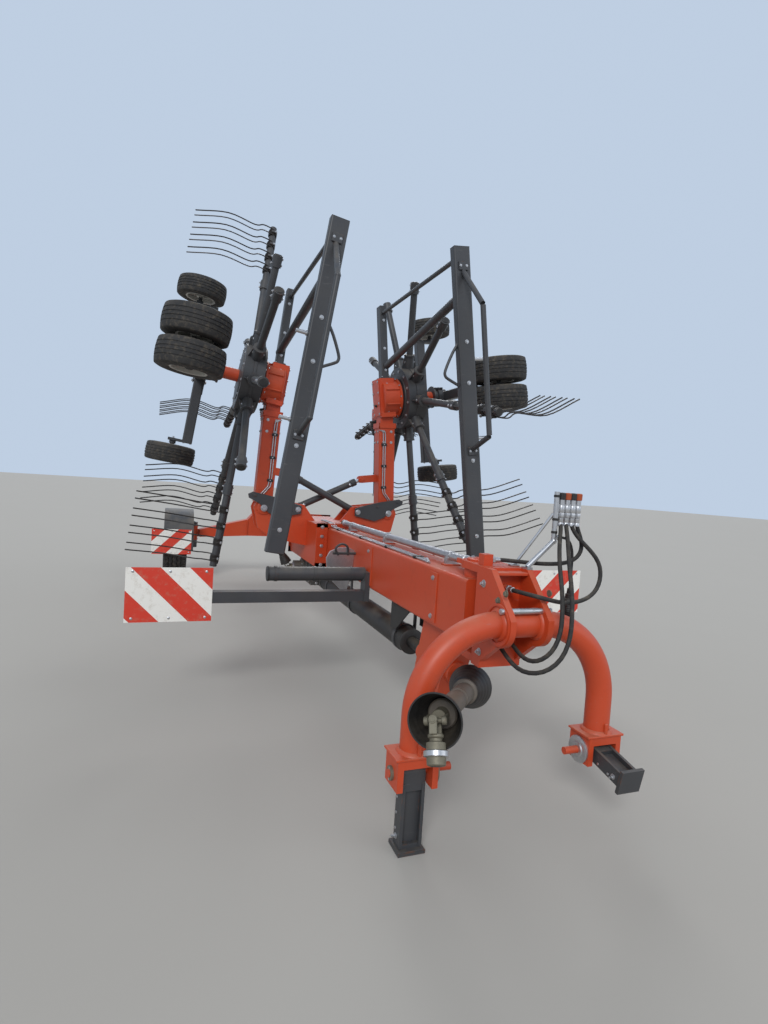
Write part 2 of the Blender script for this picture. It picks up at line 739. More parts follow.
TINED = {"right": (-20, -100, -140, 180), "left": (-100, -140, 180, 140, 100)}  # degrees of tined arms
ARM_COUNT = 9
ARM_R = 27
ROTOR_R = 1490
BARE_ARM_R = 930
SPLIT = BARE_ARM_R - 90  # where a tine carrier's clamp begins
PAIRS = 4
PAIR_PITCH = 128
PAIR_GAP = 64
PAIR_START = ROTOR_R - 3 * PAIR_PITCH - PAIR_GAP - 30
HUB_R = 255
HUB_H = 80
COLLAR = HUB_R + 110
TINE_COURSE = ((-33, 0), (-44, -90), (-14, -160), (-37, -384), (60, -640))  # shift and drop
COIL_TURNS = 3
COIL_STEPS = 11


class RAKE_OT_tines(bpy.types.Operator):
    """Double tines: one wire from tip to tip, coiled round the arm on both sides of its clamp"""

    bl_idname = "rake.tines"
    bl_label = "Tines"

    def wire(self, r):
        """Course of one double tine, its coils included, from x = 0 to the pair's gap."""
        down = smooth_path([(r, shift, drop) for shift, drop in TINE_COURSE], 5)
        coil = ARM_R + r + 0.4
        wound = []
        for k in range(1, COIL_TURNS * COIL_STEPS + 1):
            angle = math.pi + 2 * math.pi * k / COIL_STEPS
            along = r + 2.02 * r * k / COIL_STEPS
            wound.append(Vector((along, coil * math.cos(angle), coil * math.sin(angle))))
        half = down[::-1] + wound
        bridge = [Vector((PAIR_GAP / 2 + x, -coil - 3, 8)) for x in (-5, 0, 5)]
        return half + bridge + [Vector((PAIR_GAP - p.x, p.y, p.z)) for p in half[::-1]]

    def execute(self, context):
        r = context.scene.rake_sizes.tine_radius / MM
        course = self.wire(r)
        mid = PAIR_GAP / 2
        for side in SIDES:
            form = Form(folded(side, "rotor_spin_"))
            for angle in TINED[side]:
                for i in range(PAIRS):
                    place = turned(-angle) @ moved(PAIR_START + i * PAIR_PITCH, 0, 0)
                    form.sweep(course, r, 6, 0, place)
                    form.block((mid - 11, -44, -16), (mid + 11, -36, 30), 2, 1, place)
                    form.bolt((mid, -44, 20), (0, -1, 0), 6.5, 2, place)
                    form.rod((mid, -38, 20), (mid, 30, 20), 5, 2, 10, place)
                    form.bolt((mid, 28, 20), (0, 1, 0), 7, 2, place, nut=True)
            form.piece("Tines_" + side, "spring dark steel", "rotor_" + side, "spring_steel",
                       ["tines_" + side])
        return {"FINISHED"}


class RAKE_OT_rotor_fittings(bpy.types.Operator):
    """Bolted hub cover, arm sockets and the clamps at the ends of the arms"""

    bl_idname = "rake.rotor_fittings"
    bl_label = "Rotor fittings"

    def execute(self, context):
        for side in SIDES:
            form = Form(folded(side, "rotor_spin_"))
            for v in (-1, 1):
                face = Matrix.Diagonal((1, 1, v, 1))
                form.lathe(((HUB_H, HUB_R - 70), (HUB_H + 5, HUB_R - 72), (HUB_H + 9, 150), (HUB_H + 10, 62)),
                           56, 0, face)
                form.bolt_ring(222, 12, 8, 1, face @ moved(0, 0, HUB_H), 0.5)
            form.lathe(((-12, HUB_R), (-10, HUB_R + 5), (10, HUB_R + 5), (12, HUB_R)), 72)
            for k in range(ARM_COUNT):
                angle = 180 - k * 360 / ARM_COUNT
                self.arm(form, turned(-angle), round(angle) % 360 in {a % 360 for a in TINED[side]})
            form.piece("Rotor_Fittings_" + side, "dark steel plastic", "rotor_" + side, "dark_paint")
        return {"FINISHED"}

    def arm(self, form, arm, has_tines):
        """Socket, webs, end cap and clamp of one arm, and the strip along a tine carrier."""
        along = arm @ turned(90, "Y")
        form.lathe(((COLLAR - 14, 41), (COLLAR - 12, 48), (COLLAR + 2, 48), (COLLAR + 4, 30)), 28, 0, along)
        for v in (-1, 1):
            form.bolt((COLLAR - 60, 0, v * 39), (0, 0, v), 8, 1, arm)
            web = [(HUB_R - 20, 42), (COLLAR, 42), (HUB_R - 20, 72)]
            form.plate(web, 8, 0, arm @ turned(90 * v, "X"))
            form.bolts((SPLIT + 22, SPLIT + 66), 0, v * 36, (0, 0, v), 7, 1, arm, nut=v < 0)
        end = ROTOR_R if has_tines else BARE_ARM_R
        form.lathe(((end - 4, 28), (end, 28), (end + 3, 24)), 24, 2, along)
        form.lathe(((SPLIT, 28), (SPLIT + 2, 36), (SPLIT + 86, 36), (SPLIT + 88, 28)), 24, 0, along)
        if has_tines:
            form.block((SPLIT + 92, -4, 24), (ROTOR_R - 20, 4, 34), 1, 0, arm)


# Universal drive shaft at the front

DRIVE_Z = 440
PTO_REACH = Vector((-410, -490, 90))
PTO_HANG = Vector((-0.15, -0.5, -0.85))
PTO_JOINTS = (30, 31)
LINK_JOINTS = (20, 15)
BELL_STEPS = 14
BELL_RIB = 1.6
BELL_WALL = 3.5


def cross_joint(form, at, one, other, size):
    """Two forks that meet at a cross, each on the hub that its own direction leads to."""
    across = one.cross(other)
    across = across.normalized() if across.length > 0.05 else one.orthogonal().normalized()
    grow = Matrix.Scale(size, 4)
    for along, pin in ((one.normalized(), across), (other.normalized(), None)):
        pin = pin or along.cross(across).normalized()
        fork = axes(at, pin, along.cross(pin), along) @ grow
        form.lathe(((1.25, 0.72), (1.32, 0.80), (1.55, 0.80), (1.7, 0.62), (2.3, 0.6)), 28, 1, fork)
        for v in (-1, 1):
            form.block((v * 0.95 - 0.16, -0.4, 0), (v * 0.95 + 0.16, 0.4, 1.4), 0.08, 1, fork)
            form.rod((v * 0.7, 0, 0), (v * 1.16, 0, 0), 0.44, 1, 24, fork)
            form.rod((v * 1.1, 0, 0), (v * 1.2, 0, 0), 0.3, 1, 20, fork)
        form.rod((-0.8, 0, 0), (0.8, 0, 0), 0.24, 1, 18, fork)
    form.lathe(((-0.32, 0.2), (-0.2, 0.36), (0.2, 0.36), (0.32, 0.2)), 24, 1, facing(at, across) @ grow)


def bell(form, at, along, length, neck, mouth):
    """Open guard cone from its neck to its mouth, with soft ribs and a rolled rim."""
    outside = []
    for k in range(BELL_STEPS + 1):
        t = k / BELL_STEPS
        rib = BELL_RIB if k % 3 == 1 and k < BELL_STEPS - 1 else 0
        outside.append((t * length, neck + (mouth - neck) * t ** 0.8 + rib))
    inside = [(h, r - BELL_WALL) for h, r in outside[::-1]]
    rim = [(length + 2, mouth), (length + 2, mouth - 5)]
    form.ring(outside + rim + inside, 56, 0, facing(at, along))


class RAKE_OT_pto(bpy.types.Operator):
    """Universal drive shaft: two joints, guard tubes, open guard cones and the yoke that hangs free"""

    bl_idname = "rake.pto"
    bl_label = "Universal drive shaft"

    def execute(self, context):
        near = Vector((0, SWIVEL_Y, DRIVE_Z))
        far = near + PTO_REACH
        way = PTO_REACH.normalized()
        whole = PTO_REACH.length
        form = Form()
        cross_joint(form, near, Vector(REARWARD), way, PTO_JOINTS[0])
        cross_joint(form, far, -way, PTO_HANG.normalized(), PTO_JOINTS[1])
        form.rod(near + 62 * way, near + 170 * way, 25, 1, 24)
        form.rod(far - 130 * way, far - 40 * way, 25, 1, 24)
        bell(form, near + 150 * way, -way, 110, 50, 88)
        bell(form, far - 110 * way, way, 118, 50, 88)
        tubes = [(140, 44), (146, 49), (166, 49), (170, 38), (300, 38), (304, 34)]
        tubes += [(whole - h, r) for h, r in ((304, 34), (300, 38), (120, 38), (116, 49), (98, 49), (92, 44))]
        form.lathe(tubes, 40, 2, facing(near, way))
        yoke = facing(far, PTO_HANG)
        form.lathe(((60, 20), (64, 30), (84, 30), (88, 36), (100, 36), (104, 30), (126, 29), (129, 24),
                    (130, 19)), 32, 1, yoke)
        form.lathe(((86, 36), (88, 39), (102, 39), (104, 35)), 32, 3, yoke)
        form.lathe(((130.2, 17), (130.4, 3)), 24, 0, yoke)
        form.piece("Drive_Shaft_Front", "plastic cast guard_tube steel", "headstock", "guard_plastic",
                   ["pto_shaft"])
        return {"FINISHED"}


# Hoses

HOLDER_Y = -1270
HOSE_TOP = 1164.7
ROUTES = {
    "hose_long": (
        (214, -1270, HOSE_TOP), (214, -1270, 1146), (212, -1280, 1120), (186, -1312, 1068),
        (152, -1366, 990), (126, -1424, 910), (112, -1452, 840), (96, -1472, 765), (62, -1476, 700),
        (26, -1446, 660), (10, -1392, 654), (8, -1335, 675), (8, -1300, 690), (8, -1270.4, 690)),
    "hose_low": (
        (240, -1270, HOSE_TOP), (240, -1270, 1146), (237, -1282, 1120), (214, -1326, 1068),
        (180, -1386, 990), (154, -1442, 910), (138, -1472, 840), (120, -1496, 760), (82, -1506, 684),
        (28, -1482, 632), (-16, -1424, 618), (-32, -1358, 642), (-34, -1300, 672), (-34, -1270.4, 672)),
    "hose_loop": (
        (266, -1270, HOSE_TOP), (266, -1270, 1146), (270, -1277, 1120), (288, -1296, 1085),
        (324, -1320, 1045), (354, -1340, 1000), (360, -1350, 948), (338, -1360, 900), (292, -1372, 870),
        (230, -1386, 857), (166, -1400, 857), (108, -1410, 866), (62, -1404, 876), (20, -1374, 884),
        (0, -1320, 886), (0, -1270.4, 886)),
    "hose_top": (
        (292, -1270, HOSE_TOP), (292, -1270, 1146), (298, -1272, 1120), (312, -1277, 1085),
        (317, -1281, 1045), (296, -1284, 1010), (250, -1282, 988), (190, -1266, 980), (130, -1244, 979),
        (76, -1212, 980), (30, -1194, 982), (0, -1188, 982), (-29.7, -1188, 982)),
    "lamp_lead": (
        (212.3, -1270, 1085), (232, -1270, 1085), (262, -1267, 1076), (282, -1263, 1050),
        (291, -1262, 1015), (292, -1262, 970), (292, -1262, 925), (292, -1262, 885.3)),
}
HOSE_ENDS = (((8, -1270, 690), FORWARD), ((-34, -1270, 672), FORWARD), ((0, -1270, 886), FORWARD),
             ((-30, -1188, 982), (1, 0, 0)))
LEAD_R = 5
PLUG_AT = (292, -1262, 885)
PLUG_PINS = 7
GRIP_PITCH = 7
GRIP_END = 94
EASE_ROUNDS = 2
SOCKETS = (214, 240, 266, 292)


def eased(path):
    """Path with its kinks drawn out, its ends kept."""
    for _ in range(EASE_ROUNDS):
        path = [path[0]] + [(a + 2 * b + c) / 4 for a, b, c in zip(path, path[1:], path[2:])] + [path[-1]]
    return path


class RAKE_OT_hoses(bpy.types.Operator):
    """Hydraulic hoses and the lamps' lead, each one length from its coupling to its fitting or plug"""

    bl_idname = "rake.hoses"
    bl_label = "Hoses"

    def execute(self, context):
        plug = self.plug()
        for node, route in ROUTES.items():
            is_lead = node == "lamp_lead"
            r = LEAD_R if is_lead else round(context.scene.rake_sizes.hose_radius / MM, 3)
            course = eased(smooth_path(route, 3))
            form = Form()
            form.sweep(course, r, 12)
            hose = form.piece(node.title(), "hose", "headstock", "hose_rubber", [node])
        self.couplings()
        return {"FINISHED"}

    def plug(self):
        """Round plug with its gland nut, its ribbed grip and its recessed face."""
        form = Form(MACHINE @ facing(PLUG_AT, (0, 0, -1)))
        form.lathe(((0, 7), (2, 10), (22, 12), (24, 16), (40, 17), (42, 21)), 32)
        grip = [(42, 20)]
        for h in range(45, GRIP_END, GRIP_PITCH):
            grip += [(h, 22), (h + 3, 24), (h + 5, 24), (h + 6.5, 22)]
        form.lathe((*grip, (98, 22)), 36)
        form.lathe(((97, 20), (98, 24), (117, 24), (119.5, 22.5), (119.5, 18), (112, 17.5), (112, 4)), 36)
        for x, y in circle(11, PLUG_PINS):
            form.rod((x, y, 112), (x, y, 117), 1.6, 1, 8)
        return form.piece("Lead_Plug", "plastic steel", "headstock", "guard_plastic", ["lead_plug"])

    def couplings(self):
        """Couplings parked in the holder, their crimped sleeves and the fittings at the hoses' other ends."""
        form = Form()
        for k, x in enumerate(SOCKETS):
            up = moved(x, HOLDER_Y, 1164)
            form.lathe(((0, 12.2), (2, 13), (16, 13), (18, 12)), 6, 0, up, smooth=False)
            form.lathe(((18, 11.4), (20, 12.4), (44, 12.4), (46, 11.4)), 28, 0, up)
            form.lathe(((68, 11.4), (70, 14), (92, 14.5), (95, 12), (96, 3)), 28, 2 if k % 2 else 1, up)
            form.lathe(((-34, 9.2), (-33, 10.6), (-22, 10.8), (-20, 9.8), (-18, 10.8), (-2, 10.8), (0, 9)),
                       24, 0, up)
        for at, direction in HOSE_ENDS:
            out = facing(at, direction)
            form.lathe(((0, 9), (1, 14), (11, 14), (12, 11)), 6, 0, out, smooth=False)
            form.lathe(((12, 9.4), (13, 10.8), (34, 10.8), (35, 9)), 24, 0, out)
        gland = facing((212, HOLDER_Y, 1085), (1, 0, 0))
        form.lathe(((-6, 8.2), (-5, 10), (-1, 10), (0, 6)), 6, 1, gland, smooth=False)
        for z in (1100, 1150, 1240):
            form.lathe(((0, 10.2), (1, 12), (9, 12), (10, 10.2)), 24, 1, moved(190, HOLDER_Y, z))
        form.piece("Hose_Couplings", "steel plastic cap", "headstock", "bare_steel")


# Headstock and yoke

CHEEK_X = 90
YOKE_Y = -1360
YOKE_TOP = 772
HEAD_HIGH = 960
HEAD_LOW = 580
LINK_X = 390
LINK_Z = 275
FOOT_TOP = 345
LEGS = {"right": (275, 0), "left": (200, 78)}  # length and swing in degrees


class RAKE_OT_headstock(bpy.types.Operator):
    """Welds, caps, bolts and stiffeners of the headstock, the feet of the yoke and the parking legs"""

    bl_idname = "rake.headstock"
    bl_label = "Headstock"

    def execute(self, context):
        form = Form()
        self.swivel(form)
        self.cheeks(form)
        for s in SIDES.values():
            self.foot(form, s)
        form.piece("Headstock_Fittings", "red steel cast dark", "headstock", "red_paint")
        for side, s in SIDES.items():
            self.leg(side, s)
        return {"FINISHED"}

    def swivel(self, form):
        """Caps of the swivel pin with their bolts, a grease nipple and the webs beside the tube."""
        for z, up in ((HEAD_HIGH, 1), (HEAD_LOW, -1)):
            face = facing((0, SWIVEL_Y, z), (0, 0, up))
            form.lathe(((0, 56), (7, 56), (9, 53), (9, 20), (12, 18), (13, 4)), 44, 0, face)
            form.bolt_ring(38, 3, 7, 1, face @ moved(0, 0, 9))
            for x in (-60, 60):
                form.block((x - 6, -1212, z - 34 * up), (x + 6, -1186, z - 88.4 * up))
        form.lathe(((0, 5), (3, 5), (4, 3), (9, 3.4), (12, 2)), 12, 1, moved(0, SWIVEL_Y, 973))

    def cheeks(self, form):
        """Weld beads round the yoke, bolt plates and the stiffeners between the two cheeks."""
        for s in (-1, 1):
            for x, out in ((CHEEK_X, 1), (CHEEK_X - 24, -1)):
                bead = facing((s * x, YOKE_Y, YOKE_TOP), (s * out, 0, 0))
                form.ring(((0, 48.5), (0, 60), (4, 58), (8, 53), (10, 48.5)), 48, 0, bead)
            for y, z in ((-1398, 892), (-1352, 858)):
                form.bolt((s * CHEEK_X, y, z), (s, 0, 0), 9, 2)
            form.bolts(s * CHEEK_X, -1245, (900, 640), (s, 0, 0), 10, nut=True)
            rim = facing((s * CHEEK_X, YOKE_Y, YOKE_TOP), (s, 0, 0))
            form.ring(((0, 66), (4, 66), (5, 68), (5, 76), (4, 78), (0, 78)), 56, 0, rim)
        form.block((-66, -1300, 938), (66, -1236, 950))
        form.rod((-CHEEK_X - 16, -1395, 828), (CHEEK_X + 16, -1395, 828), 11, 1, 20)
        form.rod((76, -1190, 966), (184, -1264, 1176), 6, 1, 14)
        form.block((52, -1206, 960), (90, -1178, 968), 2, 1)

    def foot(self, form, s):
        """Saddle plate over a foot, its gussets, the link pin's collars and a linch pin."""
        x = s * LINK_X
        form.block((x - 84, YOKE_Y - 60, FOOT_TOP - 8), (x + 84, YOKE_Y + 60, FOOT_TOP))
        for y in (YOKE_Y - 48, YOKE_Y + 48):
            form.block((x - 7, y - 10, FOOT_TOP), (x + 7, y + 10, FOOT_TOP + 44), 3)
        form.ring(((0, 48.5), (0, 60), (4, 58), (9, 52), (11, 48.5)), 44, 0, moved(x, YOKE_Y, FOOT_TOP))
        outer = facing((s * (LINK_X + 75), YOKE_Y, LINK_Z), (s, 0, 0))
        form.ring(((0, 14.2), (0, 24), (8, 24), (9, 22), (9, 14.2)), 32, 2, outer)
        inner = facing((s * (LINK_X - 75), YOKE_Y, LINK_Z), (-s, 0, 0))
        form.ring(((0, 14.2), (0, 52), (6, 52), (8, 49), (8, 30), (12, 26), (12, 14.2)), 44,
                  1 if s > 0 else 2, inner)
        pin = moved(s * (LINK_X + 82), YOKE_Y, LINK_Z)
        form.rod((0, 0, -24), (0, 0, 22), 3.5, 1, 12, pin)
        hoop = [(0, 17 * y, 2 + 20 * x) for x, y in circle(1, 16)]
        form.sweep(hoop, 1.8, 8, 1, pin, closed=True)

    def leg(self, side, s):
        """Edges, stop pin and worn sole of one parking leg."""
        long, swing = LEGS[side]
        form = Form(MACHINE @ moved(s * LINK_X, YOKE_Y, LINK_Z) @ turned(-swing, "X"))
        form.block((-49, -44, 12 - long), (49, 44, 15 - long), 1.5)
        for x in (-1, 1):
            form.block((x * 36 - 6, -29, 16 - long), (x * 36 + 6, -25.5, -34), 1.5)
            form.bolt((x * 41, 6, 46 - long), (x, 0, 0), 7)
        for k in range(round((long - 110) / 55)):
            form.rod((-43, 14, 70 - long + 55 * k), (43, 14, 70 - long + 55 * k), 5, 1, 14)
        form.rod((-58, 8, 46 - long), (58, 8, 46 - long), 4.5, 1, 14)
        form.piece("Leg_Fittings_" + side, "dark steel", "leg_" + side, "dark_paint")


# Main beam

PIVOT_X = 520
PIVOT_Z = 1000
ROTOR_Y = 1500
SHAFT_V = 160
BEAM_TOP = 895.2
STEER = (20, 937)  # x and z of the steering rod
BOARD_TUBE = (54, 712)  # y and z of the board carrier's tube
AXLE_Y = 4120
KNUCKLE_X = 930
RIVET = ((0, 7), (1.5, 7), (3.2, 4), (3.6, 0.5))
HOOK_PLATE = ((225, 968), (222, 1030), (300, 1056), (440, 1092), (610, 1124), (646, 1106), (640, 1076),
              (560, 1036), (480, 962), (400, 930))
# faces of a solid between two outlines of four corners
SIX_SIDES = ((0, 1, 2, 3), (7, 6, 5, 4), (0, 4, 5, 1), (1, 5, 6, 2), (2, 6, 7, 3), (3, 7, 4, 0))
TOOL_PLATE = ((-108, 820), (-150, 838), (-215, 834), (-268, 812), (-290, 770), (-282, 700), (-240, 620),
              (-180, 566), (-150, 560), (-118, 640))


class RAKE_OT_beam(bpy.types.Operator):
    """Flanges, pipes, clamps, hooks, pins and bolts on the main beam and the rear axle"""

    bl_idname = "rake.beam"
    bl_label = "Main beam"

    def execute(self, context):
        form = Form()
        self.flanges(form)
        self.steering(form)
        self.pipes(form)
        for s in SIDES.values():
            self.bracket(form, s)
        self.underside(form)
        form.piece("Beam_Fittings", "red steel dark plastic cast", "chassis", "red_paint")
        self.boards()
        self.axle()
        for side, s in SIDES.items():
            self.knuckle(side, s)
        return {"FINISHED"}

    def flanges(self, form):
        """Bolted flanges at both ends of the centre box and the bolt plates along the beam's sides."""
        for y, out in ((1000, -1), (2000, 1)):
            end = y + out * 12
            for s in (-1, 1):
                form.block((s * 100.5, y, 582), (s * 188, end, 928))
                form.bolts(s * 144, end, (620, 690, 760, 830, 900), (0, out, 0), 9)
            form.block((-188, y, 895.5), (188, end, 928))
            form.block((-188, y, 582), (188, end, 634.5))
        for s in (-1, 1):
            for y0, y1 in ((-880, -800), (-20, 100), (3700, 3860)):
                form.block((s * 100, y0, 655), (s * 105, y1, 875))
                form.bolts(s * 105, (y0 + y1) / 2, (680, 850), (s, 0, 0), 8)

    def steering(self, form):
        """Fork ends, saddles and bolts of the rod that steers the rear wheels."""
        x, z = STEER
        for y in (-760, 60, 760):
            form.bolts((x - 21, x + 21), y, z - 6, UP, 5.5)
            form.block((x - 42, y - 22, BEAM_TOP), (x + 42, y + 22, z - 36), 1.5)
            form.ring(((-13, 20.3), (-13, 24), (13, 24), (13, 20.3)), 32, 1, facing((x, y, z), REARWARD))
        for y, out in ((-910, -1), (970, 1)):
            end = facing((x, y, z), (0, out, 0))
            form.lathe(((-26, 20.2), (-24, 24), (-4, 24), (0, 17), (14, 13), (16, 11)), 28, 1, end)
            eye = y + out * 30
            form.rod((x, eye, z - 14), (x, eye, z + 14), 20, 4, 28)
            for v in (-1, 1):
                form.bolt((x, eye, z + v * 14), (0, 0, v), 9)
        for v in (-34, 34):
            form.block((x + v - 5, -1000, z - 11), (x + v + 5, -885, z + 11))

    def pipes(self, form):
        """Steel oil pipes clipped along the top of the beam, with their unions."""
        for k, x in enumerate((-72, -56, -40)):
            path = [(x, -700 + 40 * k, 901)] + [(x, y, 903) for y in (-400, 0, 500, 930)]
            path += [(x - 4, 980, 915), (x - 10, 1020, 926), (x - 14, 1080, 931), (x - 14, 1240, 931)]
            form.sweep(smooth_path(path, 3), 4.5, 10, 1)
            for end, out in ((path[0], -1), (path[-1], 1)):
                form.lathe(((-6, 6), (-5, 9), (9, 9), (10, 6), (26, 5.5)), 6, 1, facing(end, (0, out, 0)),
                           smooth=False)
        for y in (-560, -160, 300, 820):
            form.block((-82, y - 12, BEAM_TOP), (-30, y + 12, 909.5), 3, 3)
            form.bolts((-64, -48), y, 909.5, UP, 4)

    def bracket(self, form, s):
        """Pins with their plates on an arm's bracket, the dark hook plate and the edge between the plates."""
        for out in (-1, 1):
            y = ROTOR_Y + out * 100
            pivot = facing((s * PIVOT_X, y, PIVOT_Z), (0, out, 0))
            form.ring(((0, 25.5), (0, 52), (8, 52), (10, 49), (10, 25.5)), 40, 0, pivot)
            form.lathe(((18, 25.2), (21, 25.4), (24, 22), (25, 5)), 32, 1, pivot)
            form.bolt((s * (PIVOT_X - 45), y + out * 10, PIVOT_Z + 30), (0, out, 0), 7)
            anchor = facing((s * 250, y, PIVOT_Z), (0, out, 0))
            form.ring(((0, 15.2), (0, 30), (6, 30), (8, 28), (8, 15.2)), 32, 0, anchor)
        form.plate([(s * x, z) for x, z in HOOK_PLATE[::-s]], 10, 2,
                   moved(0, ROTOR_Y - 117, 0) @ turned(90, "X"))
        for x, z, r in ((250, 1000, 15), (520, 1000, 18), (420, 1050, 9), (596, 1096, 9)):
            form.bolt((s * x, ROTOR_Y - 122, z), FORWARD, r, 1 if r > 9 else 2)
        for x, z0, z1 in ((300, 760, 800), (400, 850, 872)):
            form.block((s * (x - 60), ROTOR_Y - 79.5, z0), (s * (x + 60), ROTOR_Y + 79.5, z1), 3)

    def underside(self, form):
        """Tube saddles, the shield over the drive tube, and the grey tool plate at the beam's right side."""
        for y in (-330, 480, 1080):
            ring = facing((0, y, DRIVE_Z), REARWARD)
            form.ring(((-14, 66.3), (-14, 72), (14, 72), (14, 66.3)), 44, 2, ring)
            for x in (-1, 1):
                form.block((x * 54 - 5, y - 14, 482), (x * 54 + 5, y + 14, 634.8), 2, 2)
                form.bolt((x * 59, y, 610), (x, 0, 0), 7)
        form.ring(((0, 30), (0, 66), (6, 67), (8, 64), (8, 30)), 44, 3, facing((0, -421, DRIVE_Z), FORWARD))
        form.block((-88, -560, 626), (88, -330, 634.8), 2, 3)
        for x in (-1, 1):
            cheek = [(h, y, z) for h in sorted((x * 82, x * 88))
                     for y, z in ((-560, 627), (-330, 627), (-330, 500), (-400, 500))]
            form.add(cheek, SIX_SIDES, 3, smooth=False)
        collar = facing((0, -600, DRIVE_Z), REARWARD)
        form.ring(((0, 28.2), (0, 50), (10, 50), (12, 46), (22, 42), (24, 28.2)), 36, 0, collar)
        form.bolt((-50, -700, DRIVE_Z), (-1, 0, 0), 17, 0)
        form.plate(TOOL_PLATE, 6, 1, moved(0, 300, 0) @ turned(90, "X"))
        form.rod((-100, 300, 800), (-250, 300, 800), 9, 2, 16)
        form.sweep(smooth_path([(-214, 290, 790), (-236, 284, 830), (-200, 280, 860), (-160, 284, 842),
                                (-152, 290, 790)], 5), 7, 10, 2)

    def boards(self):
        """Clamps, rivets and edge strips of the front marker boards."""
        form = Form()
        tube_y, tube_z = BOARD_TUBE
        for s in SIDES.values():
            for x in (1010, 1188.5, 1367):
                for z in (488, 730):
                    form.lathe(RIVET, 14, 0, facing((s * x, -1.3, z), FORWARD))
            for x in (1060, 1180):
                form.block((s * (x - 20), 3.9, 500), (s * (x + 20), 10, 720), 1.5, 1)
                form.bolt((s * x, 10, 700), REARWARD, 6, 0)
            form.block((s * 1262, 2, 558), (s * 1270.2, 66, 622), 2, 1)
            tip = facing((s * 680, tube_y, tube_z), (s, 0, 0))
            form.lathe(((-2, 41), (-1, 42), (6, 42), (9, 39), (10, 5)), 36, 2, tip)
            for x in (200, 420, 640):
                ring = facing((s * x, tube_y, tube_z), (1, 0, 0))
                form.ring(((-7, 40.2), (-7, 43), (7, 43), (7, 40.2)), 36, 1, ring)
            form.bolts(s * 130.5, 34, (590, 690), (s, 0, 0), 9, 0)
        form.piece("Board_Fittings_Front", "steel dark plastic", "chassis", "dark_paint")

    def axle(self):
        """Kingpin rings, socket bolts and stiffeners of the rear axle."""
        form = Form()
        for s in SIDES.values():
            for z, up in ((600, 1), (430, -1)):
                ring = facing((s * KNUCKLE_X, AXLE_Y, z), (0, 0, up))
                form.ring(((-16, 48.3), (-16, 53), (-3, 53), (-1, 48.3)), 36, 0, ring)
            form.bolts(s * 116, (3925, 4015), (690, 840), (s, 0, 0), 11, nut=True)
            for out in (-1, 1):
                y = AXLE_Y + out * 75
                form.block((s * 300, y, 505), (s * 312, y + out * 14, 690))
        for out in (-1, 1):
            form.bolt_ring(70, 6, 9, 1, facing((0, AXLE_Y + out * 75, 640), (0, out, 0)))
        form.piece("Axle_Fittings", "red steel", "chassis", "red_paint")

    def knuckle(self, side, s):
        """Kingpin's cap, the mudguard's stay and the rivets of the rear marker board."""
        form = Form()
        cap = moved(s * KNUCKLE_X, AXLE_Y, 639)
        form.lathe(((0, 45), (5, 45), (8, 40), (9, 14), (12, 12), (13, 2)), 36, 0, cap)
        form.rod((s * 985, AXLE_Y, 780), (s * 1254, AXLE_Y, 780), 6, 0, 12)
        form.bolts(s * 976, (AXLE_Y - 20, AXLE_Y + 20), 420, (s, 0, 0), 7)
        low, high = (MACHINE.inverted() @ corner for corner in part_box("rear_board_" + side))
        for x in (0.06, 0.5, 0.94):
            for z in (0.08, 0.92):
                at = (low.x + (high.x - low.x) * x, low.y, low.z + (high.z - low.z) * z)
                form.lathe(RIVET, 14, 1, facing(at, FORWARD))
        form.piece("Knuckle_Fittings_" + side, "dark steel", "knuckle_" + side, "dark_paint")


# Arms

ARM_DROP = 5  # degrees that the sleeve and the inner tube droop from the folded arm's own axes
LANE = 40
ROD_EYE = (300, 170)  # u and h of the lift cylinder's eye
GUARD_V = -1400
GUARD_H = -100
POST_LEAN = 2
ROTOR_U = 970
LINK_FOOT = 250


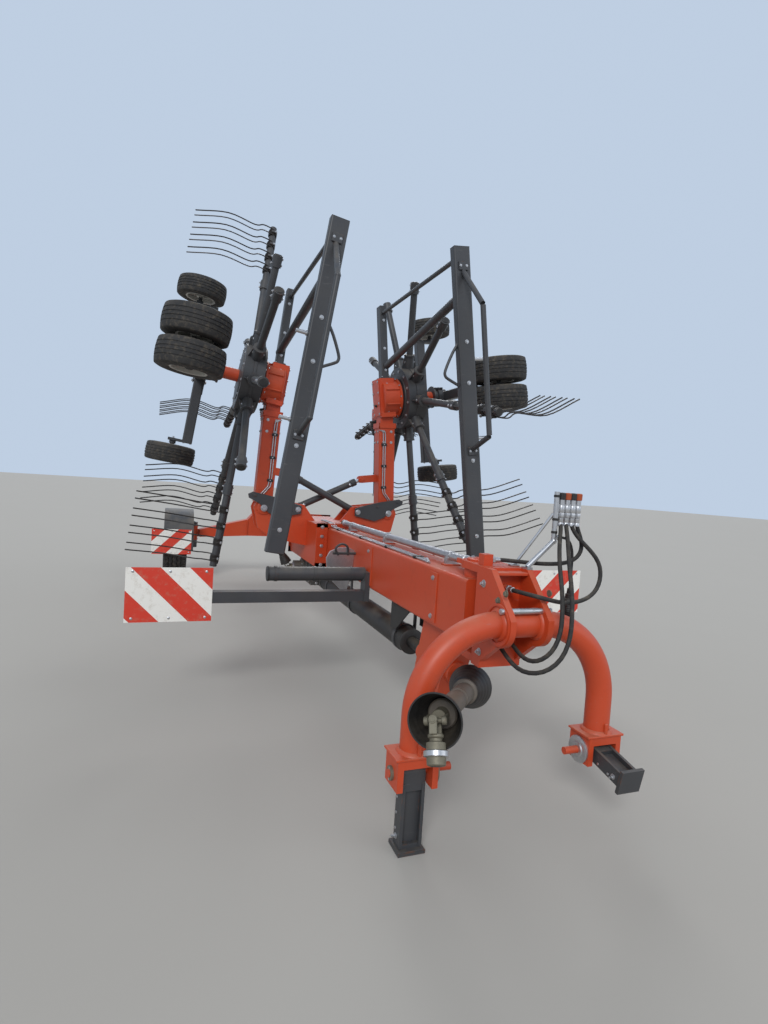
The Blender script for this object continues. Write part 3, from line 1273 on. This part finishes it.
class RAKE_OT_arms(bpy.types.Operator):
    """Wear pads, pipes, pins, cylinder glands, gearboxes and guards of the two folding arms"""

    bl_idname = "rake.arms"
    bl_label = "Arms"

    def execute(self, context):
        for side, s in SIDES.items():
            self.sleeve(side, s)
            self.cylinder(side, s)
            self.gearbox(side)
            self.guard(side)
            self.undercarriage(side)
            self.shaft(side)
        self.links()
        self.centre_gearbox()
        return {"FINISHED"}

    def sleeve(self, side, s):
        """Wear pads, bolts and clipped oil pipes of the sleeve, and rings at its eye and its hinge."""
        form = Form(folded(side))
        arm = turned(ARM_DROP, "Y")
        for quarter in range(4):
            pad = arm @ turned(90 * quarter, "X")
            form.block((718, -77, 70.2), (762, 77, 77), 2, 0, pad)
        for axis in (1, 2):
            for v in (-1, 1):
                out = [0, 0, 0]
                out[axis] = v
                for k in (-34, 34):
                    for u in (600, 690):
                        at = [u, k, k]
                        at[axis] = v * 70
                        form.bolt(at, out, 8, 1, arm)
        for h in (40, 22):
            pipe = [(110, -76, h - 50), (150, -78, h - 20), (200, -78, h), (420, -78, h), (660, -78, h),
                    (692, -74, h + 12), (700, -72, h + 34)]
            form.sweep(smooth_path(pipe, 4), 4.5, 10, 1, arm)
        for u in (220, 400, 580):
            form.block((u - 11, -86, 8), (u + 11, -70.2, 54), 3, 2, arm)
            form.bolt((u, -86, 31), FORWARD, 4, 1, arm)
        eye_u, eye_h = ROD_EYE
        for v in (-1, 1):
            outward = turned(-90 * v, "X")
            form.ring(((0, 14.2), (0, 24), (5, 24), (6, 22), (6, 14.2)), 28, 0,
                      moved(eye_u, s * LANE + v * 30.2, eye_h) @ outward)
            form.ring(((0, 62.3), (0, 72), (10, 72), (12, 68), (12, 62.3)), 44, 0,
                      moved(0, v * 63, 0) @ outward)
        form.piece("Lift_Arm_Fittings_" + side, "red steel plastic", "lift_arm_" + side, "red_paint")

    def cylinder(self, side, s):
        """Gland, end cap and oil ports of a lift cylinder."""
        form = Form(WORLD)
        low = joint_at("barrel_pivot_" + side)
        reach = folded(side) @ Vector((ROD_EYE[0], s * LANE, ROD_EYE[1])) / MM - low
        way = joint_axis("rod_slide_" + side)
        place = facing(low, way if way.dot(reach) > 0 else -way)
        end = reach.length - 53
        form.ring(((end - 46, 27.2), (end - 44, 31), (end - 8, 31), (end - 6, 29), (end - 0.5, 29), (end, 26),
                   (end, 16.4), (end - 46, 16.4)), 36, 0, place)
        form.lathe(((34, 27.2), (36, 30), (58, 30), (60, 27.2)), 36, 0, place)
        for along in (78, end - 66):
            port = facing(place @ Vector((0, 0, along)), (0, -s, 0))
            form.lathe(((20, 12), (34, 12), (36, 10)), 20, 0, port)
            form.lathe(((36, 9.5), (37, 11), (46, 11), (48, 7), (58, 6.5)), 6, 1, port, smooth=False)
        form.piece("Barrel_Fittings_" + side, "dark steel", "barrel_" + side, "dark_paint")

    def gearbox(self, side):
        """Flanges, covers, ribs, bolts and plugs of the rotor's gearbox."""
        form = Form(folded(side) @ moved(ROTOR_U, 0, 0))
        form.ring(((-184, 150.3), (-184, 166), (-172, 166), (-170, 163), (-166, 150.3)), 64)
        form.bolt_ring(158, 10, 7, 1, moved(0, 0, -171), 0.5)
        form.lathe(((-46, 150.3), (-44, 154), (-36, 154), (-34, 150), (-34, 96)), 64)
        for k in range(8):
            form.block((148, -5, -166), (161, 5, -48), 3, 0, turned(45 * k + 22.5))
        form.block((-148, -80, -10), (148, 80, -4))
        form.bolts((-132, -44, 44, 132), (-64, 64), -4, UP, 7)
        for v in (-1, 1):
            form.bolts((-110, -36, 36, 110), v * 90, -75, (0, v, 0), 8)
        form.lathe(((0, 12), (5, 12), (6, 10), (14, 10), (15, 8)), 20, 2, moved(-60, 0, -4))
        arm = moved(-ROTOR_U, 0, 0) @ turned(ARM_DROP, "Y")
        form.bolts((818, 882), 200, (-32, 32), REARWARD, 7, 1, arm)
        form.block((812, 120, 45), (888, 190, 51), 2, 0, arm)
        form.bolts((826, 874), 155, 51, UP, 6, 1, arm)
        form.piece("Gearbox_Fittings_" + side, "red steel plastic", "boom_" + side, "red_paint")

    def guard(self, side):
        """Clamps, bolts, end caps, gussets and pins of the crop guard and its post."""
        form = Form(folded(side) @ moved(0, GUARD_V, GUARD_H))
        for u, out in ((-190, -1), (1715, 1)):
            form.block((u, -28, -53), (u + out * 4, 28, 53), 2, 1)
        for v in (-1, 1):
            form.bolts((1150, 1560, 900, 420, -60), v * 30, 0, (0, v, 0), 9, 2)
        for u, wide in ((1440, 52), (1665, 34)):
            form.block((u - wide, 30, -46), (u + wide, 38, 46))
            form.bolts((u - wide + 14, u + wide - 14), 38, (-34, 34), REARWARD, 6, 2)
        form.plate([(1448, 30), (1360, 30), (1412, 220), (1426, 220)], 8)
        for u in (1600, 480):
            form.block((u - 26, -40, -30), (u + 26, -30, 30))
            form.bolts(u, -40, (-20, 20), FORWARD, 5.5, 2)
        for u in (1050, 560):
            form.rod((u, 0, -54), (u, 0, -122), 11, 2, 18)
            form.lathe(((0, 15), (7, 15), (8, 13)), 20, 2, moved(u, 0, -64))
        hook = [(1140, 0, 50), (1080, 0, 92), (985, 0, 142), (950, 0, 146), (930, 0, 126), (885, 0, 50)]
        form.sweep(smooth_path(hook, 4), 9, 12)
        post = moved(1132, -GUARD_V, 15) @ turned(POST_LEAN, "Y")
        form.block((594, -43, -28), (600, 43, 28), 2, 1, post)
        form.block((0, -62, -46), (10, 62, 46), 2, 0, post)
        form.bolts(10, (-54, 54), (-34, 34), (1, 0, 0), 7, 2, post)
        for v in (-1, 1):
            form.block((8, v * 50 - 5, -26), (96, v * 50 + 5, 26), 3, 0, post)
            for u, half in ((70, 55.2), (250, 45), (480, 45)):
                form.bolt((u, v * half, 0), (0, v, 0), 8, 2, post)
        form.piece("Guard_Fittings_" + side, "dark plastic steel", "boom_" + side, "dark_paint")

    def undercarriage(self, side):
        """Collars, gussets, bolts and axle nuts of the frame under the rotor."""
        form = Form(folded(side) @ moved(ROTOR_U, 0, 0))
        form.ring(((-530, 70.3), (-530, 92), (-520, 94), (-514, 90), (-514, 70.3)), 48)
        form.lathe(((-606, 70.3), (-600, 84), (-560, 84), (-556, 70.3)), 48)
        for k in range(4):
            form.block((66, -5, -600), (104, 5, -520), 3, 0, turned(45 + 90 * k))
        for h in (-690, -598):
            form.block((-62, 402, h), (62, 498, h + 8))
        for x in (-1, 1):
            form.bolts(x * 40, (-300, 260), -640, (x, 0, 0), 10)
            for v in (418, 482):
                form.rod((x * 50, v, -700), (x * 50, v, -580), 6, 1, 12)
                form.bolt((x * 50, v, -590), UP, 7)
            form.plate([(x * 40, 400), (x * 160, 410), (x * 40, 290)], 8, 0, moved(0, 0, -600))
            form.rod((x * 565, 450, -751), (x * 600, 450, -751), 26, 0, 24)
            form.bolt((x * 565, 450, -751), (-x, 0, 0), 15, nut=True)
            form.bolts(x * 575, 430, (-612, -668), (x, 0, 0), 7)
            form.rod((x * 8, -760, -731), (x * 12, -760, -731), 42, 0, 28)
            form.block((x * 14 - 3, -560, -676), (x * 14 + 3, -500, -604))
            form.bolts(x * 8, (-600, -690), -690, (x, 0, 0), 8)
        form.piece("Undercarriage_Fittings_" + side, "dark steel", "boom_" + side, "dark_paint")

    def shaft(self, side):
        """Pleated cone and rings on the upper half of a telescopic drive shaft, and the joint at its foot."""
        form = Form(folded(side) @ turned(ARM_DROP, "Y") @ moved(0, SHAFT_V, 0) @ turned(90, "Y"))
        pleats = []
        for k in range(7):
            pleats += [(676 + 16 * k, 50 + 3.2 * k), (684 + 16 * k, 58 + 3.2 * k)]
        form.lathe(((668, 40), (670, 48), *pleats, (790, 78), (794, 74), (796, 40)), 48)
        form.ring(((140, 30.2), (140, 46), (152, 46), (154, 42), (156, 38.3), (140.1, 38.3)), 36, 1)
        for at in (330, 520):
            form.lathe(((at, 38.2), (at + 2, 41), (at + 12, 41), (at + 14, 38.2)), 36)
        form.piece("Shaft_Cone_" + side, "plastic steel", "boom_" + side, "guard_plastic")

    def links(self):
        """Universal shafts from the centre gearbox up to the arms."""
        form = Form()
        y = ROTOR_Y + SHAFT_V
        for s in SIDES.values():
            bend = Vector((s * LINK_FOOT, y, BOX_Z))
            top = Vector((s * PIVOT_X, y, PIVOT_Z))
            way = (top - bend).normalized()
            whole = (top - bend).length
            form.rod((s * 205.3, y, BOX_Z), (s * (LINK_FOOT - 16), y, BOX_Z), 26, 1, 28)
            form.ring(((0, 26.2), (0, 31), (12, 31), (13, 26.2)), 32, 2,
                      facing((s * 205.3, y, BOX_Z), (s, 0, 0)))
            cross_joint(form, bend, Vector((-s, 0, 0)), way, LINK_JOINTS[0])
            cross_joint(form, top, -way, Vector(UP), LINK_JOINTS[1])
            form.rod(bend + 38 * way, top - 30 * way, 20, 1, 28)
            form.lathe(((62, 24), (64, 27), (whole - 62, 27), (whole - 60, 24)), 36, 0, facing(bend, way))
            bell(form, bend + 110 * way, -way, 70, 28, 46)
            for share in (0.4, 0.75):
                band = facing(bend + share * (top - bend), way)
                form.lathe(((0, 27.2), (1, 30), (11, 30), (12, 27.2)), 32, 0, band)
        form.piece("Drive_Links", "plastic cast steel", "chassis", "guard_plastic", ["drive_links"])

    def centre_gearbox(self):
        """Flanges, ribs, bolts and plugs of the gearbox under the middle."""
        form = Form()
        for s in SIDES.values():
            flange = facing((s * 130, ROTOR_Y + SHAFT_V, BOX_Z), (s, 0, 0))
            form.ring(((0, 52.3), (0, 74), (9, 74), (11, 71), (11, 52.3)), 40, 0, flange)
            form.bolt_ring(63, 6, 6, 1, flange @ moved(0, 0, 11))
            for y in (1340, 1440, 1560):
                form.block((s * 130, y - 5, 412), (s * 139, y + 5, 588), 3)
            form.bolt((s * 130, 1390, 450), (s, 0, 0), 11)
        form.bolt_ring(98, 6, 8, 1, facing((0, 1310, 470), FORWARD), 0.5)
        form.piece("Centre_Gearbox_Fittings", "gearbox steel", "chassis", "dark_paint")


# Stage

FLOOR_REACH = 60.0
FLOOR_PATCHES = (0.36, 0.35, 0.33)
SKY_LIGHT = (0.92, 0.96, 1.0, 1)
SKY_POWER = 0.60
BACKGROUND = (0.52, 0.62, 0.76, 1)
LAMPS = (  # name, place, spread in degrees and power of each sun
    ("Key", (-4.5, -7.0, 5.6), 20, 1.5),
    ("Fill", (6.0, -5.0, 3.0), 40, 0.35),
    ("Back", (2.5, 7.0, 5.3), 25, 0.8),
)
SENSOR_WIDTH = 36
CLIP_START = 0.02
CAMERA_AT = (-1.204, -4.515, 1.25)
CAMERA_RIGHT = (0.935, -0.3489, 0.0641)
CAMERA_UP = (-0.0425, 0.0691, 0.9967)
CAMERA_BACK = (-0.3522, -0.9347, 0.0498)


class RAKE_OT_stage(bpy.types.Operator):
    """Lay the floor, set the lamps and place the camera"""

    bl_idname = "rake.stage"
    bl_label = "Stage"

    def execute(self, context):
        self.floor(context)
        self.world(context)
        self.lamps(context)
        self.camera(context)
        context.scene.view_settings.view_transform = "Standard"
        return {"FINISHED"}

    def floor(self, context):
        """Wide pale floor with a little unevenness in its colour."""
        paint = Paint("Floor_Paper", tuple(context.scene.rake_finish.floor_grey), 0.9)
        paint.patches((0.6,), 0.3, 0.7, 0.15, FLOOR_PATCHES)
        corners = [(x * FLOOR_REACH, y * FLOOR_REACH, 0) for x, y in ((-1, -1), (1, -1), (1, 1), (-1, 1))]
        mesh = bpy.data.meshes.new("Floor")
        mesh.from_pydata(corners, [], [(0, 1, 2, 3)])
        mesh.materials.append(paint.done())
        floor = bpy.data.objects.new("Floor", mesh)
        context.scene.collection.objects.link(floor)

    def world(self, context):
        """Even light from the sky, and a plain background where the camera or a reflection sees it."""
        world = bpy.data.worlds.new("Studio")
        context.scene.world = world
        world.use_nodes = True
        tree = world.node_tree
        tree.nodes.clear()
        mix = tree.nodes.new("ShaderNodeMixShader")
        for socket, colour, strength in ((1, SKY_LIGHT, SKY_POWER), (2, BACKGROUND, 1.0)):
            sky = tree.nodes.new("ShaderNodeBackground")
            sky.inputs["Color"].default_value = colour
            sky.inputs["Strength"].default_value = strength
            tree.links.new(sky.outputs[0], mix.inputs[socket])
        ray = tree.nodes.new("ShaderNodeLightPath")
        either = tree.nodes.new("ShaderNodeMath")
        either.operation = "MAXIMUM"
        for socket, kind in enumerate(("Is Camera Ray", "Is Glossy Ray")):
            tree.links.new(ray.outputs[kind], either.inputs[socket])
        tree.links.new(either.outputs[0], mix.inputs[0])
        out = tree.nodes.new("ShaderNodeOutputWorld")
        tree.links.new(mix.outputs[0], out.inputs["Surface"])

    def lamps(self, context):
        """Soft suns that look at the middle of the floor."""
        for name, place, spread, power in LAMPS:
            data = bpy.data.lights.new(name, "SUN")
            data.energy = power
            data.angle = math.radians(spread)
            lamp = bpy.data.objects.new(name, data)
            lamp.location = place
            lamp.rotation_euler = (-Vector(place)).to_track_quat("-Z", "Y").to_euler()
            context.scene.collection.objects.link(lamp)

    def camera(self, context):
        """Camera at the photograph's place and with its view."""
        data = bpy.data.cameras.new("Camera")
        data.lens = context.scene.rake_sizes.lens
        data.sensor_fit = "AUTO"
        data.sensor_width = SENSOR_WIDTH
        data.clip_start = CLIP_START
        camera = bpy.data.objects.new("Camera", data)
        camera.matrix_world = axes(CAMERA_AT, CAMERA_RIGHT, CAMERA_UP, CAMERA_BACK)
        context.scene.collection.objects.link(camera)
        context.scene.camera = camera


class RAKE_PT_panel(bpy.types.Panel):
    """Sizes, colours and steps of the hay rake"""

    bl_label = "Hay Rake"
    bl_idname = "RAKE_PT_panel"
    bl_space_type = "VIEW_3D"
    bl_region_type = "UI"
    bl_category = "Hay Rake"

    def draw(self, context):
        for group in (context.scene.rake_sizes, context.scene.rake_finish):
            for key in group.bl_rna.properties.keys():
                if key not in ("rna_type", "name"):
                    self.layout.prop(group, key)
        for step in STEPS:
            self.layout.operator(step.bl_idname)


STEPS = (RAKE_OT_finishes, RAKE_OT_road_wheels, RAKE_OT_small_wheels, RAKE_OT_tines, RAKE_OT_rotor_fittings,
         RAKE_OT_pto, RAKE_OT_hoses, RAKE_OT_headstock, RAKE_OT_beam, RAKE_OT_arms, RAKE_OT_stage)
GROUPS = (RakeFinish, RakeSizes)


def register():
    for cls in (*GROUPS, *STEPS, RAKE_PT_panel):
        bpy.utils.register_class(cls)
    bpy.types.Scene.rake_finish = bpy.props.PointerProperty(type=RakeFinish)
    bpy.types.Scene.rake_sizes = bpy.props.PointerProperty(type=RakeSizes)


def unregister():
    del bpy.types.Scene.rake_sizes
    del bpy.types.Scene.rake_finish
    for cls in reversed((*GROUPS, *STEPS, RAKE_PT_panel)):
        bpy.utils.unregister_class(cls)


def main():
    """Run every step and write the two boxes, of the frame and of all that shows."""
    register()
    for step in STEPS:
        group, name = step.bl_idname.split(".")
        getattr(getattr(bpy.ops, group), name)()


if __name__ == "__main__":
    main()
